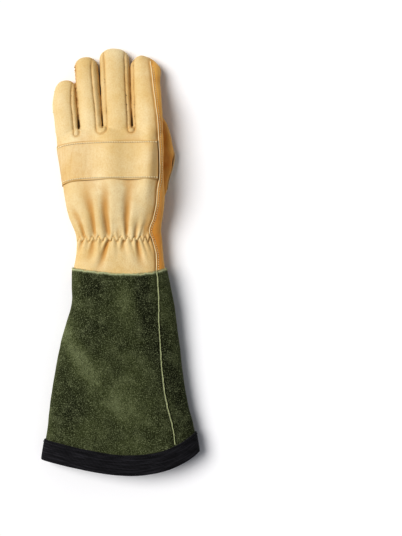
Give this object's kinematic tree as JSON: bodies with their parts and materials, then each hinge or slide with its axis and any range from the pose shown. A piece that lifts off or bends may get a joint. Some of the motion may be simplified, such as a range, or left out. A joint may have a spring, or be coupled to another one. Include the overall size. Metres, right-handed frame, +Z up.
{
  "type": "rose pruning gauntlet",
  "caption": "Left-hand leather gardening glove with a gathered wrist, a knuckle band and a long flared suede cuff, lying palm down.",
  "frame": {"origin": "middle of the glove's box at the surface that it lies on", "axes": "+Z up, +Y from the cuff towards the fingertips, +X towards the thumb"},
  "size_m": [0.1674, 0.4486, 0.0432],
  "materials": {
    "grain_leather": "smooth full grain, satin",
    "palm_leather": "smooth full grain, satin",
    "patch_leather": "soft matt grain",
    "green_suede": "napped suede",
    "raw_edge": "raw cut edge",
    "black_tape": "woven cotton twill"
  },
  "bodies": {
    "root": {"back_panel": "grain_leather", "palm_panel": "palm_leather", "ring_front": "palm_leather", "middle_front": "palm_leather", "fourchette_little_ring": "grain_leather", "fourchette_ring_middle": "grain_leather", "fourchette_middle_index": "grain_leather", "thumb_outer": "palm_leather", "thumb_inner": "palm_leather", "thumb_patch": "patch_leather", "knuckle_band": "grain_leather", "hand_seam_welt": "patch_leather", "gauntlet_cuff": "green_suede", "cuff_seam_welt": "raw_edge", "cuff_binding": "black_tape", "hang_loop": "black_tape"}
  },
  "joints": []
}
